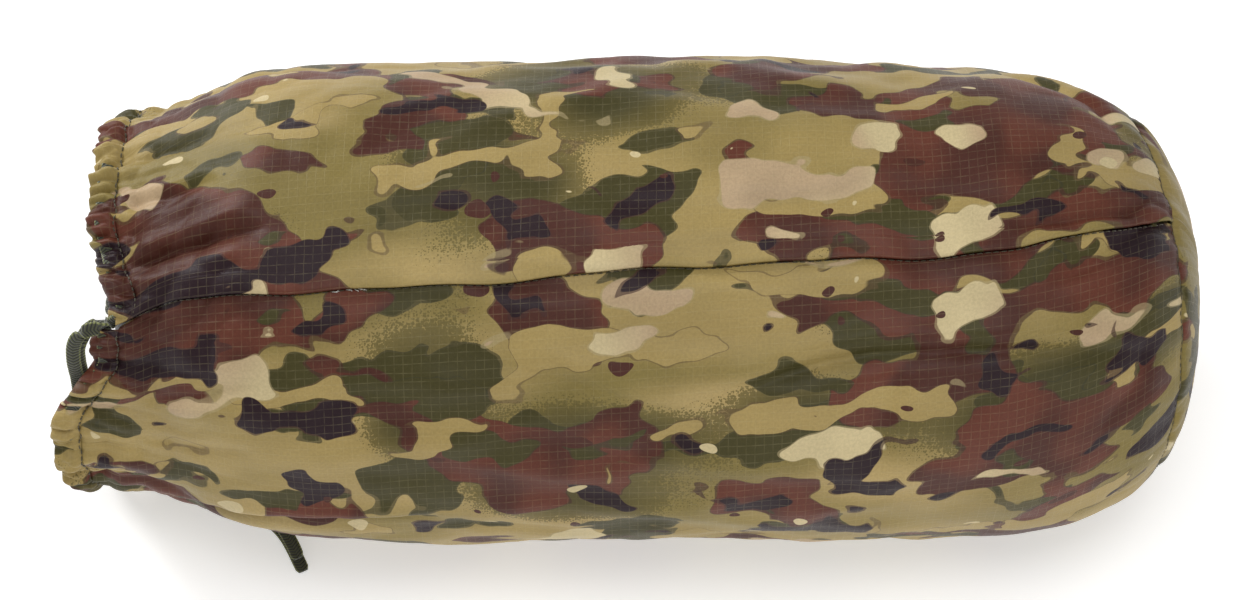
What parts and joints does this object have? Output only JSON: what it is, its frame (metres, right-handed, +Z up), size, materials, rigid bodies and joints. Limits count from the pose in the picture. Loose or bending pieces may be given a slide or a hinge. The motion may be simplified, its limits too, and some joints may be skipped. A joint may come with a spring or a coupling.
{
  "type": "bivy sack",
  "caption": "Bivy sack packed in a soft camouflage ripstop drawcord stuff sack, lying on its side; the rolled bivy slides out of the gathered mouth.",
  "frame": {"origin": "bottom centre of the whole object's box, on the floor it lies on", "axes": "+X along the sack from the gathered mouth to the round base, +Z up, -Y towards the side with the seam and the cord ends"},
  "size_m": [0.4499, 0.1946, 0.1791],
  "materials": {
    "sack_fabric": "satin ripstop, camouflage print",
    "sack_thread": "matt",
    "drawcord": "braided, dark olive",
    "bivy_floor_fabric": "coated, semi-matt",
    "bivy_top_fabric": "matt ripstop, camouflage print",
    "zip_tape": "woven, matt",
    "zip_coil": "matt",
    "zip_metal": "satin black paint",
    "lock_plastic": "moulded, matt",
    "spring_steel": "bright",
    "hood_cord": "braided round cord",
    "webbing": "woven webbing"
  },
  "bodies": {
    "sack": {"sack_body_panel": "sack_fabric", "sack_base_panel": "sack_fabric", "mouth_hem": "sack_fabric", "side_seam_lap": "sack_fabric", "base_seam_binding": "sack_fabric", "side_seam_stitching": "sack_thread", "base_seam_stitching": "sack_thread", "mouth_hem_stitching": "sack_thread", "drawcord_in_hem": "drawcord", "drawcord_loop": "drawcord", "drawcord_floor_run": "drawcord"},
    "cord_end_front": {"drawcord_tail_front": "drawcord"},
    "cord_end_rear": {"drawcord_tail_rear": "drawcord"},
    "bivy_roll": {"bivy_floor_panel": "bivy_floor_fabric", "bivy_top_panel": "bivy_top_fabric", "bivy_hood_panel": "bivy_top_fabric", "zip_tape_left": "zip_tape", "zip_tape_right": "zip_tape", "zip_coils": "zip_coil", "zip_stops": "zip_metal", "hood_drawcord": "hood_cord", "stake_loops": "webbing"},
    "zip_slider": {"zip_slider": "zip_metal"},
    "zip_pull": {"zip_pull": "zip_metal"},
    "hood_lock": {"hood_lock_barrel": "lock_plastic", "hood_lock_spring": "spring_steel"},
    "hood_lock_button": {"hood_lock_button": "lock_plastic"}
  },
  "joints": [
    {"name": "bivy_slide", "type": "slide", "parent": "sack", "child": "bivy_roll", "axis": [-1, 0, 0], "range_m": [0, 0.42]},
    {"name": "cord_end_front_swing", "type": "hinge", "parent": "sack", "child": "cord_end_front", "pos_m": [-0.1346, -0.0584, 0.001], "axis": [0, 0, 1], "range_deg": [-30, 30]},
    {"name": "cord_end_rear_swing", "type": "hinge", "parent": "sack", "child": "cord_end_rear", "pos_m": [-0.1346, -0.0584, 0.001], "axis": [0, 0, 1], "range_deg": [-20, 20]},
    {"name": "zip_travel", "type": "hinge", "parent": "bivy_roll", "child": "zip_slider", "pos_m": [-0.165, 0.006, 0.0655], "axis": [-1, 0, 0], "range_deg": [-10, 88]},
    {"name": "zip_pull_lift", "type": "hinge", "parent": "zip_slider", "child": "zip_pull", "pos_m": [-0.165, 0.00817, 0.12776], "axis": [1, 0, 0], "range_deg": [0, 80]},
    {"name": "hood_lock_slide", "type": "slide", "parent": "bivy_roll", "child": "hood_lock", "axis": [-1, 0, 0], "range_m": [-0.006, 0]},
    {"name": "hood_lock_press", "type": "slide", "parent": "hood_lock", "child": "hood_lock_button", "axis": [0, 0, -1], "range_m": [0, 0.0035], "stiffness_N_per_m": 500, "springref_m": -0.004, "deforming": ["hood_lock_spring"]}
  ]
}
